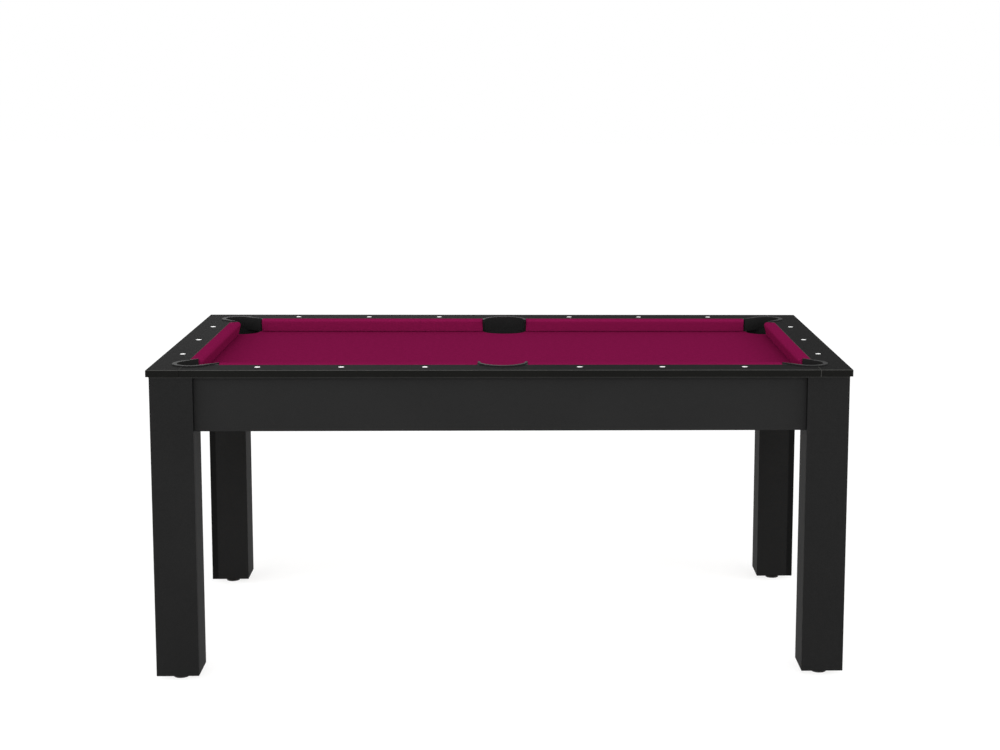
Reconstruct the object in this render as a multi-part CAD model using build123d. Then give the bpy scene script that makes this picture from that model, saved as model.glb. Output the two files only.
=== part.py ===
from build123d import *
import math
import os

os.makedirs("parts", exist_ok=True)

# A six-foot pool table that doubles as a dining table. Millimetres, +Z up, +X to the right along the
# table, the origin on the floor under the middle of the table. The front long side faces -Y.

# Overall
table_length = 1830.0
table_width = 1040.0
board = 18.0                  # thickness of every laminated board
cut_over = 5.0                # overrun of a cutting solid past the face that it cuts
seat_gap = 0.5                # clearance round a piece that drops into a cut-out
arris = 1.0                   # chamfer along the visible edges of the boards
level_slack = 0.001           # allowed when the edges at a level are looked for

# Heights, from the floor up
foot_height = 17.0
leg_length = 795.0
packer_thickness = 4.0        # strip between the base and the top frame
apron_height = 143.0
bed_drop = 37.0               # from the top of the rails down to the cloth
cloth_thickness = 1.0

# Legs
leg_hollow = 75.0             # clear inside of a boxed leg
rail_overhang = 7.0           # of the rails past the legs
leg_arris = 2.0

# Top frame
rail_width = 85.0
cushion_reach = 35.0          # from the inner edge of the rail to the nose of the cushion
cushion_crest = 2.0           # rise of the profile's front corner over the rail, before it is rounded
cushion_corner = 1.9          # reach of that corner past the nose
nose_radius = 7.0
cushion_undercut = 7.0
cushion_clearance = 0.8       # over the cloth

# Sights: round plastic inlays
sight_radius = 7.5
sight_thickness = 1.8
sight_proud = 0.6
sight_ease = 0.4              # chamfer round the rim
sight_clearance = 0.1
sight_inset = 50.0
long_sight_first = 202.0
long_sight_pitch = 217.0
long_sights_per_half = 3
short_sight_pitch = 256.0
short_sights_per_side = 1     # each side of the middle one

# Pockets: a moulded liner with a horseshoe flange, a wall, two lugs and a ball bucket
liner_wall = 2.5
corner_bend_radius = 37.0     # inside, round the back of the horseshoe
corner_bend_shift = 27.0      # of the bend's centre, away from the middle of the table
corner_flange_width = 13.0
corner_flare_deg = 6.5        # of the inner sides, outwards
corner_rim_flare_deg = -3.0   # of the flange's rim
corner_rim_back = 0.0         # of the rim's centre behind the bend's
corner_tip = 28.0             # from the pocket's centre to the ends of the flange
corner_tip_round = 1.6
corner_foot = 25.5            # from the pocket's centre to the foot of the lugs
corner_hole_radius = 51.0     # of the hole in the bed
corner_hole_shift = 6.0
corner_end_gap = 53.5         # from the pocket's centre to the square end of the cushion
side_set_back = 10.0          # of the pocket's centre behind the line of the noses
side_bend_radius = 60.0
side_bend_shift = -15.5
side_flange_width = 6.0       # at the tips
side_flare_deg = 0.0
side_rim_flare_deg = 0.0
side_rim_back = 8.0
side_tip = 19.0
side_tip_round = 2.6
side_foot = -3.0
side_hole_depth = 45.0
side_hole_width = 62.5
side_end_gap = 66.5
flange_rise = 2.5
flange_round = 1.4
lug_nose = 5.0                # height of the lugs' upright ends, under the flange
ledge_thickness = 2.5
bucket_step = 3.0             # of the bucket inside the hole in the bed
bucket_over_legs = 19.0       # clearance of the buckets over the tops of the inner leg boards
bucket_draft_deg = 2.0
bucket_floor_round = 9.0
rim_below_cloth = 1.0
peg_radius = 2.0
peg_length = 8.0
peg_spread = 40.0
peg_clearance = 0.1

# Bed
bed_clearance = 1.0
joist_height = 80.0
joists = 2
cleat_width = 20.0
cleat_height = 30.0

# Fasteners and hardware
bolt_radius = 3.0
bolt_head_radius = 6.5
bolt_head_height = 3.5
bolt_clearance = 0.3
bolt_bite = 12.0              # into the last board
bolt_edge_distance = 20.0
screw_radius = 3.5
screw_head_radius = 5.0
screw_head_height = 3.5
screw_length = 50.0
screw_end_share = 0.22        # of the apron's height, from its edges to the corner screws
plate_length = 60.0
plate_width = 16.0
plate_thickness = 2.5
plate_screw_radius = 1.6
plate_screw_head = 3.2
plate_screw_length = 13.0
plate_hole_shares = (-0.38, -0.15, 0.15, 0.38)
bracket_leg = 30.0
bracket_height = 44.0
bracket_thickness = 2.0
insert_radius = 6.0
insert_flange_radius = 9.5
insert_flange_thickness = 1.5
insert_length = 15.0

# Levelling feet
stud_radius = 4.0
stud_fit = 0.1                # running clearance in the insert
stud_rise = 25.0              # above the underside of the leg
stud_collar_across = 13.0
stud_collar_height = 5.0
foot_gap = 0.3
pad_radius = 20.0
pad_rim_height = 4.0
pad_neck_radius = 9.0
pad_height = 10.0
pad_socket_floor = 3.5
pad_rim_round = 1.0

# Levels and lines that follow from the sizes above
leg_top = foot_height + leg_length
rail_under = leg_top + packer_thickness
rail_top = rail_under + board
apron_under = leg_top - apron_height
cloth_top = rail_top - bed_drop
bed_top = cloth_top - cloth_thickness
bed_under = bed_top - board
leg_width = leg_hollow + 2 * board
bucket_depth = cloth_top - rim_below_cloth - apron_under - bucket_over_legs
base_x = table_length / 2 - rail_overhang
base_y = table_width / 2 - rail_overhang
cabinet_x = base_x - board
cabinet_y = base_y - board
inside_x = cabinet_x - board
inside_y = cabinet_y - board
rail_edge_x = table_length / 2 - rail_width
rail_edge_y = table_width / 2 - rail_width
nose_x = rail_edge_x - cushion_reach
nose_y = rail_edge_y - cushion_reach
side_y = nose_y + side_set_back
leg_x = base_x - leg_width / 2
leg_y = base_y - leg_width / 2
cleat_y = inside_y - cleat_width
cleat_under = bed_under - cleat_height
joist_under = bed_under - joist_height
rail_bolt_inset = (cleat_y - rail_edge_y) / 2

SIDES_X = {"left": -1, "right": 1}
SIDES_Y = {"front": -1, "back": 1}


def slab(x0, x1, y0, y1, z0, z1):
    """A rectangular block between two corners, given in any order."""
    size = Box(abs(x1 - x0), abs(y1 - y0), abs(z1 - z0))
    return Pos((x0 + x1) / 2, (y0 + y1) / 2, (z0 + z1) / 2) * size


def rod(radius, length, x=0, y=0, z=0):
    """An upright cylinder that stands on z."""
    return Pos(x, y, z) * Cylinder(radius, length, align=(Align.CENTER, Align.CENTER, Align.MIN))


def prism(points, z0, z1):
    """A plan outline raised from z0 to z1."""
    return Pos(0, 0, z0) * extrude(Polygon(*points, align=None), z1 - z0, dir=(0, 0, 1))


def oval(depth_radius, width_radius):
    """A pocket's outline, with its mouth towards +X."""
    if depth_radius == width_radius:
        return Circle(depth_radius)
    return Ellipse(depth_radius, width_radius)


def top_edges(solid, z):
    """The edges of a solid that lie in the plane at z."""
    return solid.edges().filter_by_position(Axis.Z, z - level_slack, z + level_slack)


def export(node, shape):
    export_step(shape, f"parts/{node}.step")


def group(shapes):
    """Separate like solids that share one node."""
    return Compound(children=[solid for shape in shapes for solid in shape.solids()])


# Pockets

POCKETS = {}
lug_end = corner_end_gap - seat_gap
lug_back = cushion_reach - seat_gap
lug_square = Rectangle(lug_end + lug_back, lug_end + lug_back)
corner_block = Pos((lug_end - lug_back) / math.sqrt(2), 0) * Rot(0, 0, 45) * lug_square
for end, sx in SIDES_X.items():
    for side, sy in SIDES_Y.items():
        POCKETS[f"corner_{side}_{end}"] = {
            "at": (sx * nose_x, sy * nose_y), "turn": math.degrees(math.atan2(-sy, -sx)),
            "bend": corner_bend_radius, "shift": corner_bend_shift, "flare": corner_flare_deg,
            "flange": corner_flange_width, "rim_flare": corner_rim_flare_deg,
            "rim_back": corner_rim_back, "tip": corner_tip, "tip_round": corner_tip_round,
            "foot": corner_foot, "hole": (corner_hole_radius, corner_hole_radius),
            "hole_shift": corner_hole_shift, "block": corner_block}
side_back = lug_back - side_set_back
side_plan = Rectangle(side_tip + side_back, 2 * (side_end_gap - seat_gap))
side_block = Pos((side_tip - side_back) / 2, 0) * side_plan
for side, sy in SIDES_Y.items():
    POCKETS[f"side_{side}"] = {
        "at": (0, sy * side_y), "turn": -90.0 * sy,
        "bend": side_bend_radius, "shift": side_bend_shift, "flare": side_flare_deg,
        "flange": side_flange_width, "rim_flare": side_rim_flare_deg,
        "rim_back": side_rim_back, "tip": side_tip, "tip_round": side_tip_round,
        "foot": side_foot, "hole": (side_hole_depth, side_hole_width),
        "hole_shift": 0, "block": side_block}


def placed(pocket, shape):
    """Turns a shape made with its mouth towards +X and sets it at its pocket."""
    x, y = pocket["at"]
    return Pos(x, y, 0) * Rot(0, 0, pocket["turn"]) * shape


def horseshoe(pocket, grow, flare_deg, back=0):
    """A plan with a round bend, its centre moved back, and two sides that run on past the tips."""
    radius = pocket["bend"] + grow
    shift = pocket["shift"] + back
    flare = math.radians(flare_deg)
    start_x = -shift - radius * math.sin(flare)
    start_y = radius * math.cos(flare)
    end_x = pocket["tip"] + cut_over
    end_y = start_y + (end_x - start_x) * math.tan(flare)
    sides = Polygon((start_x, -start_y), (end_x, -end_y), (end_x, end_y), (start_x, start_y), align=None)
    return Pos(-shift, 0) * Circle(radius) + sides


def hole_plan(pocket, grow):
    """The hole in the bed, grown all round."""
    depth, width = pocket["hole"]
    return Pos(-pocket["hole_shift"], 0) * oval(depth + grow, width + grow)


def cutter(pocket, plan, z0, z1):
    """A pocket's plan raised from z0 to z1, in its place."""
    return placed(pocket, Pos(0, 0, z0) * extrude(plan, z1 - z0))


def mouth_cut(pocket):
    """All that lies past the lugs' ends, which lean back from under the flange's tips to the foot."""
    end = pocket["tip"] - pocket["tip_round"]
    far = pocket["tip"] + 2 * pocket["bend"]
    top = rail_top + cut_over
    outline = Polyline((end, top), (end, rail_top - lug_nose), (pocket["foot"], cloth_top),
                       (pocket["foot"], bed_under), (far, bed_under), (far, top), close=True)
    half = 2 * pocket["bend"]
    upright = Plane(origin=(0, half, 0), x_dir=(1, 0, 0), z_dir=(0, -1, 0))
    return extrude(upright * make_face(outline), 2 * half)


def peg_places(pocket):
    """Where the two pegs stand, between the wall and the rim of the flange."""
    half = peg_spread / 2
    wall = math.sqrt((pocket["bend"] + liner_wall) ** 2 - half ** 2)
    rim = math.sqrt((pocket["bend"] + pocket["flange"]) ** 2 - half ** 2) + pocket["rim_back"]
    back = pocket["shift"] + (wall + rim) / 2
    return [(-back, side * half) for side in (-1, 1)]


def liner(pocket):
    """One moulding: the flange on the rails, the wall and lugs, the ledge on the bed, the bucket."""
    inside = horseshoe(pocket, 0, pocket["flare"])
    shell = horseshoe(pocket, liner_wall, pocket["flare"]) + pocket["block"]

    rim_plan = horseshoe(pocket, pocket["flange"], pocket["rim_flare"], pocket["rim_back"])
    flange = extrude(rim_plan - inside, flange_rise)
    half = 2 * pocket["bend"]
    tip = pocket["tip"]
    past = slab(tip, tip + half, -half, half, rail_top - cut_over, rail_top + cut_over)
    flange = Pos(0, 0, rail_top) * flange - past
    tips = [edge for edge in flange.edges().filter_by(Axis.Z) if edge.center().X > tip - arris]
    flange = fillet(tips, pocket["tip_round"])
    flange = fillet(top_edges(flange, rail_top + flange_rise), flange_round)

    skin = bucket_step - seat_gap
    opening = hole_plan(pocket, -bucket_step)
    bucket_rim = hole_plan(pocket, skin - bucket_step)
    wall = Pos(0, 0, cloth_top) * extrude(shell - inside, rail_top - cloth_top)
    ledge = Pos(0, 0, cloth_top) * extrude(shell + bucket_rim - (opening & inside), ledge_thickness)
    rim = cloth_top - rim_below_cloth
    collar = Pos(0, 0, rim) * extrude(bucket_rim - opening, rim_below_cloth)
    upper = wall + ledge + collar - mouth_cut(pocket)

    shrink = bucket_depth * math.tan(math.radians(bucket_draft_deg))

    def plug(offset, floor, height):
        base_z = rim - bucket_depth + floor
        top = Pos(0, 0, rim + height) * hole_plan(pocket, offset)
        base = Pos(0, 0, base_z) * hole_plan(pocket, offset - shrink)
        return fillet(top_edges(loft([base, top]), base_z), bucket_floor_round)

    bucket = plug(skin - bucket_step, 0, 0) - plug(-bucket_step, skin, cut_over)
    body = flange + upper + bucket
    for x, y in peg_places(pocket):
        body += rod(peg_radius, peg_length, x, y, rail_top - peg_length)
    return placed(pocket, body)


for name, pocket in POCKETS.items():
    export(f"pocket_{name}", liner(pocket))


# Top frame: two long rails butt between two short ones

wall_clear = liner_wall + seat_gap
rail_cuts = []
for pocket in POCKETS.values():
    room = horseshoe(pocket, wall_clear, pocket["flare"])
    rail_cuts.append(cutter(pocket, room, rail_under - cut_over, rail_top + cut_over))
    for x, y in peg_places(pocket):
        hole = rod(peg_radius + peg_clearance, peg_length + cut_over, x, y, rail_top - peg_length)
        rail_cuts.append(placed(pocket, hole))

sight_places = []
for sx in (-1, 1):
    for sy in (-1, 1):
        for step in range(long_sights_per_half):
            along = long_sight_first + step * long_sight_pitch
            sight_places.append((sx * along, sy * (table_width / 2 - sight_inset)))
    for step in range(-short_sights_per_side, short_sights_per_side + 1):
        sight_places.append((sx * (table_length / 2 - sight_inset), step * short_sight_pitch))
sight_floor = rail_top + sight_proud - sight_thickness
rail_cuts += [rod(sight_radius + sight_clearance, sight_thickness + cut_over, x, y, sight_floor)
              for x, y in sight_places]

# The cushions end short of the pockets, so the bolts stand at shares of what is left
half_run = (side_end_gap, nose_x - corner_end_gap)
short_end = nose_y - corner_end_gap
long_bolt_shares = (0.25, 0.75)
short_bolt_shares = (-0.62, 0.0, 0.62)
rail_bolts_at = []
for sy in (-1, 1):
    for sx in (-1, 1):
        for share in long_bolt_shares:
            along = half_run[0] + share * (half_run[1] - half_run[0])
            rail_bolts_at.append((sx * along, sy * (rail_edge_y + rail_bolt_inset)))
for sx in (-1, 1):
    for share in short_bolt_shares:
        rail_bolts_at.append((sx * (rail_edge_x + rail_bolt_inset), share * short_end))
rail_cuts += [rod(bolt_radius, bolt_bite, x, y, rail_under) for x, y in rail_bolts_at]

# Mending plates bridge the butt joints from below, just inside the cabinet
plate_y = inside_y - seat_gap - plate_width / 2
plates_at = [(sx * rail_edge_x, sy * plate_y) for sx in (-1, 1) for sy in (-1, 1)]
plate_screws_at = [(x + share * plate_length, y) for x, y in plates_at for share in plate_hole_shares]
rail_cuts += [rod(plate_screw_radius, plate_screw_length - plate_thickness, x, y, rail_under)
              for x, y in plate_screws_at]


def near(cuts, solid):
    """Only the cutting solids that reach into a solid's own box."""
    box = solid.bounding_box()
    kept = []
    for cut in cuts:
        other = cut.bounding_box()
        if (other.min.X < box.max.X and other.max.X > box.min.X and other.min.Y < box.max.Y
                and other.max.Y > box.min.Y and other.min.Z < box.max.Z and other.max.Z > box.min.Z):
            kept.append(cut)
    return kept


def rail(x0, x1, y0, y1):
    """A rail board with its top and corner edges broken, then cut for pockets, sights and screws."""
    body = slab(x0, x1, y0, y1, rail_under, rail_top)
    body = chamfer(top_edges(body, rail_top) + body.edges().filter_by(Axis.Z), arris)
    for cut in near(rail_cuts, body):
        body -= cut
    return body


for side, sy in SIDES_Y.items():
    export(f"rail_{side}", rail(-rail_edge_x, rail_edge_x, sy * rail_edge_y, sy * table_width / 2))
for end, sx in SIDES_X.items():
    export(f"rail_{end}", rail(sx * rail_edge_x, sx * table_length / 2, -table_width / 2, table_width / 2))

sights = []
for x, y in sight_places:
    disc = rod(sight_radius, sight_thickness, x, y, sight_floor)
    sights.append(chamfer(top_edges(disc, rail_top + sight_proud), sight_ease))
export("rail_sights", group(sights))

packers = [slab(-base_x, base_x, sy * inside_y, sy * base_y, leg_top, rail_under) for sy in (-1, 1)]
packers += [slab(sx * inside_x, sx * base_x, -inside_y, inside_y, leg_top, rail_under) for sx in (-1, 1)]
export("rail_packers", group(packers))

plate_under = rail_under - plate_thickness
plates = [slab(x - plate_length / 2, x + plate_length / 2, y - plate_width / 2, y + plate_width / 2,
               plate_under, rail_under) for x, y in plates_at]
hole_tools = [rod(plate_screw_radius, plate_thickness + 2 * cut_over, x, y, plate_under - cut_over)
              for x, y in plate_screws_at]
drilled = []
for plate in plates:
    for tool in near(hole_tools, plate):
        plate -= tool
    drilled.append(plate)
export("rail_plates", group(drilled))

plate_screws = []
for x, y in plate_screws_at:
    head = rod(plate_screw_head, plate_screw_radius, x, y, plate_under - plate_screw_radius)
    shank = rod(plate_screw_radius, plate_screw_length, x, y, plate_under)
    plate_screws.append(head + shank)
export("rail_plate_screws", group(plate_screws))


# Cushions: a rubber profile along the rail, square at both ends

def cushion(x0, x1):
    """A cushion that lies along X, from y=0 at the rail to its nose at y=cushion_reach."""
    depth = bed_drop - cushion_clearance
    section = Polyline((0, 0), (cushion_reach + cushion_corner, cushion_crest),
                       (cushion_reach - cushion_undercut, -depth), (0, -depth), close=True)
    profile = make_face(section)
    nose = profile.vertices().sort_by(Axis.X)[-1]
    profile = fillet(nose, nose_radius)
    return extrude(Plane(origin=(x0, 0, rail_top), x_dir=(0, 1, 0), z_dir=(1, 0, 0)) * profile, x1 - x0)


# Battens under the rails carry the cushions and take the bolts that come up through the bed
batten_height = rail_under - cloth_top
batten_holes = [rod(bolt_radius + bolt_clearance, batten_height + 2 * cut_over, x, y, cloth_top - cut_over)
                for x, y in rail_bolts_at]


def batten(x0, x1, y0, y1):
    body = slab(x0, x1, y0, y1, cloth_top, rail_under)
    for hole in near(batten_holes, body):
        body -= hole
    return body


right_front = Pos(0, -rail_edge_y, 0) * cushion(*half_run)
long_cushions = {"front_right": right_front, "front_left": mirror(right_front, Plane.YZ)}
for end in SIDES_X:
    long_cushions[f"back_{end}"] = mirror(long_cushions[f"front_{end}"], Plane.XZ)
for name, body in long_cushions.items():
    export(f"cushion_{name}", body)
    side, end = name.split("_")
    sx, sy = SIDES_X[end], SIDES_Y[side]
    export(f"batten_{name}", batten(sx * half_run[0], sx * half_run[1], sy * rail_edge_y, sy * inside_y))

bar = cushion(-short_end, short_end)
for end, sx in SIDES_X.items():
    export(f"cushion_{end}", Pos(sx * rail_edge_x, 0, 0) * Rot(0, 0, sx * 90) * bar)
    export(f"batten_{end}", batten(sx * rail_edge_x, sx * inside_x, -short_end, short_end))


# Bed: a board with six holes, its cloth, two joists and the cleats along the cabinet

bed_x, bed_y = inside_x - bed_clearance, inside_y - bed_clearance


def bed_layer(z0, z1):
    """A sheet the size of the bed with the pocket and bolt holes through it."""
    body = slab(-bed_x, bed_x, -bed_y, bed_y, z0, z1)
    for pocket in POCKETS.values():
        body -= cutter(pocket, hole_plan(pocket, 0), z0 - cut_over, z1 + cut_over)
    for x, y in rail_bolts_at:
        body -= rod(bolt_radius + bolt_clearance, z1 - z0 + 2 * cut_over, x, y, z0 - cut_over)
    return body


export("bed_board", bed_layer(bed_under, bed_top))
export("bed_cloth", bed_layer(bed_top, cloth_top))

cleats = [slab(-inside_x, inside_x, sy * cleat_y, sy * inside_y, cleat_under, bed_under) for sy in (-1, 1)]
export("bed_cleats", group(cleats))

joist_pitch = 2 * inside_x / (joists + 1)
joists_at = [(step - (joists - 1) / 2) * joist_pitch for step in range(joists)]
half_profile = [(0, joist_under), (inside_y, joist_under), (inside_y, cleat_under), (cleat_y, cleat_under),
                (cleat_y, bed_under)]
joist_outline = half_profile + [(-y, z) for y, z in reversed(half_profile[1:])]
joist_face = make_face(Polyline(*joist_outline, close=True))
for end, x in zip(SIDES_X, joists_at):
    across = Plane(origin=(x - board / 2, 0, 0), x_dir=(0, 1, 0), z_dir=(1, 0, 0))
    export(f"bed_joist_{end}", extrude(across * joist_face, board))

angle_outline = [(0, 0), (bracket_leg, 0), (bracket_leg, bracket_thickness),
                 (bracket_thickness, bracket_thickness), (bracket_thickness, bracket_leg), (0, bracket_leg)]
angle = prism(angle_outline, joist_under, joist_under + bracket_height)
front_angles = [Pos(x + board / 2, -inside_y, 0) * angle for x in joists_at]
export("joist_brackets", group(front_angles + [mirror(one, Plane.XZ) for one in front_angles]))


# Cabinet: the long aprons run past the ends of the short ones; the legs clad its corners

leg_bolt_levels = (apron_under + bolt_edge_distance, cleat_under - bolt_edge_distance)
leg_bolt_x = (inside_x + base_x - leg_width) / 2
leg_bolt_y = (inside_y + base_y - leg_width) / 2
screw_levels = (apron_under + screw_end_share * apron_height, leg_top - screw_end_share * apron_height)
corner_line = (cabinet_x + inside_x) / 2


def across_y(radius, length, x, y, z, sy):
    """A cylinder from y, outwards along Y on the side sy."""
    return Pos(x, sy * (y + length / 2), z) * Rot(90, 0, 0) * Cylinder(radius, length)


def across_x(radius, length, x, y, z, sx):
    """A cylinder from x, outwards along X on the side sx."""
    return Pos(sx * (x + length / 2), y, z) * Rot(0, 90, 0) * Cylinder(radius, length)


leg_bolt_holes, leg_bolts, corner_holes, corner_screws = [], [], [], []
for sx in (-1, 1):
    for sy in (-1, 1):
        for z in leg_bolt_levels:
            for make, at, start in ((across_y, (sx * leg_bolt_x, inside_y, z, sy), inside_y),
                                    (across_x, (inside_x, sy * leg_bolt_y, z, sx), inside_x)):
                leg_bolt_holes.append(make(bolt_radius, board + bolt_bite, *at))
                head_at = [start - bolt_head_height if value == start else value for value in at]
                shank = make(bolt_radius, board + bolt_bite, *at)
                leg_bolts.append(shank + make(bolt_head_radius, bolt_head_height, *head_at))
        for z in screw_levels:
            x = sx * corner_line
            shank = across_y(screw_radius, screw_length, x, cabinet_y - screw_length, z, sy)
            head = across_y(screw_head_radius, screw_head_height, x, cabinet_y - screw_head_height, z, sy)
            corner_holes += [shank, head]
            corner_screws.append(shank + head)
cabinet_cuts = leg_bolt_holes + corner_holes


def drilled_board(body):
    for hole in near(cabinet_cuts, body):
        body -= hole
    return body


def apron(x0, x1, y0, y1):
    body = slab(x0, x1, y0, y1, apron_under, leg_top)
    body = chamfer(top_edges(body, apron_under), arris)
    return drilled_board(body)


for side, sy in SIDES_Y.items():
    export(f"apron_{side}", apron(-cabinet_x, cabinet_x, sy * inside_y, sy * cabinet_y))
for end, sx in SIDES_X.items():
    export(f"apron_{end}", apron(sx * inside_x, sx * cabinet_x, -inside_y, inside_y))
export("leg_bolts", group(leg_bolts))
export("cabinet_screws", group(corner_screws))

bolt_length = board + cloth_thickness + batten_height + bolt_bite
bolts = []
for x, y in rail_bolts_at:
    head = rod(bolt_head_radius, bolt_head_height, x, y, bed_under - bolt_head_height)
    bolts.append(head + rod(bolt_radius, bolt_length, x, y, bed_under))
export("rail_bolts", group(bolts))


# Legs: four boards in a square box. The two outer ones are mitred and run up beside the cabinet to the
# top frame, the two inner ones stop under it and carry it.

inner_line = leg_width - board
face_outline = [(0, 0), (leg_width, 0), (leg_width, board), (board, board)]
side_outline = [(y, x) for x, y in reversed(face_outline)]
rear_outline = [(board, inner_line), (leg_width, inner_line), (leg_width, leg_width), (board, leg_width)]
cheek_outline = [(inner_line, board), (leg_width, board), (leg_width, inner_line), (inner_line, inner_line)]
block_outline = [(board, board), (inner_line, board), (inner_line, inner_line), (board, inner_line)]


def leg_outline(points, sx, sy):
    """Plan points measured inwards from a leg's outer corner, as table coordinates."""
    return [(sx * (base_x - x), sy * (base_y - y)) for x, y in points]


def leg_board(points, sx, sy, z0, z1):
    body = prism(leg_outline(points, sx, sy), z0, z1)
    return chamfer(top_edges(body, z0), arris)


def outer_board(points, sx, sy):
    """An outer board with its mitred corner eased where it meets its neighbour."""
    body = leg_board(points, sx, sy, foot_height, leg_top)
    corner = Pos(sx * base_x, sy * base_y, foot_height - cut_over)
    stand = (Align.CENTER, Align.CENTER, Align.MIN)
    ease = Rot(0, 0, 45) * Box(leg_arris, leg_arris, leg_length + 2 * cut_over, align=stand)
    return drilled_board(body - corner * ease)


blocks, caps, inserts = [], [], []
for side, sy in SIDES_Y.items():
    for end, sx in SIDES_X.items():
        outer = [outer_board(points, sx, sy) for points in (face_outline, side_outline)]
        inner = [leg_board(points, sx, sy, foot_height, apron_under)
                 for points in (rear_outline, cheek_outline)]
        export(f"leg_{side}_{end}_outer", group(outer))
        export(f"leg_{side}_{end}_inner", group(inner))
        x, y = sx * leg_x, sy * leg_y
        block = prism(leg_outline(block_outline, sx, sy), foot_height, foot_height + board)
        block -= rod(insert_radius, board + cut_over, x, y, foot_height)
        block -= rod(insert_flange_radius, insert_flange_thickness, x, y, foot_height)
        blocks.append(block)
        caps.append(prism(leg_outline(block_outline, sx, sy), apron_under - board, apron_under))
        insert = rod(insert_radius, insert_length, x, y, foot_height)
        insert += rod(insert_flange_radius, insert_flange_thickness, x, y, foot_height)
        bore = rod(stud_radius + stud_fit, insert_length + 2 * cut_over, x, y, foot_height - cut_over)
        inserts.append(insert - bore)
export("leg_foot_blocks", group(blocks))
export("leg_top_blocks", group(caps))
export("foot_inserts", group(inserts))


# Levelling feet: a threaded stud with a hexagon, and a pad that swivels on its plain end

collar_top = foot_height - foot_gap
collar_under = collar_top - stud_collar_height
socket_radius = stud_radius + foot_gap
pad_profile = [(0, 0), (pad_radius, 0), (pad_radius, pad_rim_height), (pad_neck_radius, pad_height),
               (socket_radius, pad_height), (socket_radius, pad_socket_floor), (0, pad_socket_floor)]
pad_face = make_face(Plane.XZ * Polyline(*pad_profile, close=True))
pad = revolve(pad_face, Axis.Z)
rings = pad.edges().filter_by(GeomType.CIRCLE)
rim_edges = [edge for edge in rings if edge.radius > pad_neck_radius and edge.center().Z > 0]
pad = fillet(rim_edges, pad_rim_round)
stud_base = pad_socket_floor + foot_gap
stud = rod(stud_radius, foot_height + stud_rise - stud_base, 0, 0, stud_base)
stud = chamfer(top_edges(stud, foot_height + stud_rise), stud_radius / 4)
hexagon = RegularPolygon(stud_collar_across / 2, 6, major_radius=False)
stud += Pos(0, 0, collar_under) * extrude(hexagon, stud_collar_height)
for side, sy in SIDES_Y.items():
    for end, sx in SIDES_X.items():
        at = Pos(sx * leg_x, sy * leg_y, 0)
        export(f"foot_stud_{side}_{end}", at * stud)
        export(f"foot_pad_{side}_{end}", at * pad)

print("rail top", rail_top, "playfield", 2 * nose_x, "by", 2 * nose_y)
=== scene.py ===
import bpy
import math
import numpy as np
from mathutils import Matrix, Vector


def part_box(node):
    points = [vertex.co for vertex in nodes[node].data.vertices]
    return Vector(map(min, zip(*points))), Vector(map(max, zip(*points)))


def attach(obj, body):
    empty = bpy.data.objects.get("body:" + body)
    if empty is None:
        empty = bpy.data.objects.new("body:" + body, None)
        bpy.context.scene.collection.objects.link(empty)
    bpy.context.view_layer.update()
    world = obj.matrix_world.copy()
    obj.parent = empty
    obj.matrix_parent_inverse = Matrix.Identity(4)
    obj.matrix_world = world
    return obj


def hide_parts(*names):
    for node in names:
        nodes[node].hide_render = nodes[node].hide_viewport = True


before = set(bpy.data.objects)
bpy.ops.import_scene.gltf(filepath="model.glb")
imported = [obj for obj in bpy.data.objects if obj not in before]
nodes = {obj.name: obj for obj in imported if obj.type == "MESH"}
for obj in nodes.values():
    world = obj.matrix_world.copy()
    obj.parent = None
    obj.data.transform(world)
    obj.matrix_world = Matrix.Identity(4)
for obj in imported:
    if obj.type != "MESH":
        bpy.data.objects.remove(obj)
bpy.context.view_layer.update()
bpy.context.scene.view_settings.view_transform = "Standard"


# Viewpoint: a long lens at standing height in front of the table, a little to the right of its middle. The
# picture's centre lies off the lens axis, so the film is shifted, by shares of its width. The eye's place is
# in metres, its turns in radians, the film and the focal length in millimetres.

eye = (0.02924, -5.23138, 1.6337)
yaw, pitch, roll = 0.0471783, 0.1408673, 0.0070945
film_width, focal_length, farthest = 36.0, 66.4225, 200.0
shift_right_share, shift_up_share = -0.100, -0.055
forward = np.array([math.sin(yaw) * math.cos(pitch), math.cos(yaw) * math.cos(pitch), -math.sin(pitch)])
level = np.array([math.cos(yaw), -math.sin(yaw), 0.0])
upright = np.cross(level, forward)
right = math.cos(roll) * level + math.sin(roll) * upright
up = -math.sin(roll) * level + math.cos(roll) * upright
lens = bpy.data.cameras.new("viewpoint")
lens.sensor_width = film_width
lens.lens = focal_length
lens.shift_x = shift_right_share
lens.shift_y = shift_up_share
lens.clip_end = farthest
viewpoint = bpy.data.objects.new("viewpoint", lens)
turn = np.column_stack([right, up, -forward])
viewpoint.matrix_world = Matrix.Translation(eye) @ Matrix(turn.tolist()).to_4x4()
bpy.context.scene.collection.objects.link(viewpoint)
bpy.context.scene.camera = viewpoint


# Studio: a pale sweep of floor under an even white room, with a weak soft box overhead, a wide one in front,
# two weak ones at the sides and a low one at the back left. The eye and reflections see a plain white room.

def node(tree, kind, settings, inputs):
    """Adds a node, sets its properties, and gives each input a value or another node's output."""
    made = tree.nodes.new(kind)
    for key, value in settings.items():
        setattr(made, key, value)
    for key, value in inputs.items():
        if isinstance(value, bpy.types.NodeSocket):
            tree.links.new(value, made.inputs[key])
        else:
            made.inputs[key].default_value = value
    return made


def linear(code):
    """An sRGB hex colour as linear red, green, blue and alpha: each channel c below 0.04045 is c / 12.92,
    and any other ((c + 0.055) / 1.055) to the power 2.4."""
    c = np.array([int(code[i:i + 2], 16) / 255.0 for i in (1, 3, 5)])
    return (*np.where(c <= 0.04045, c / 12.92, ((c + 0.055) / 1.055) ** 2.4), 1.0)


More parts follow.
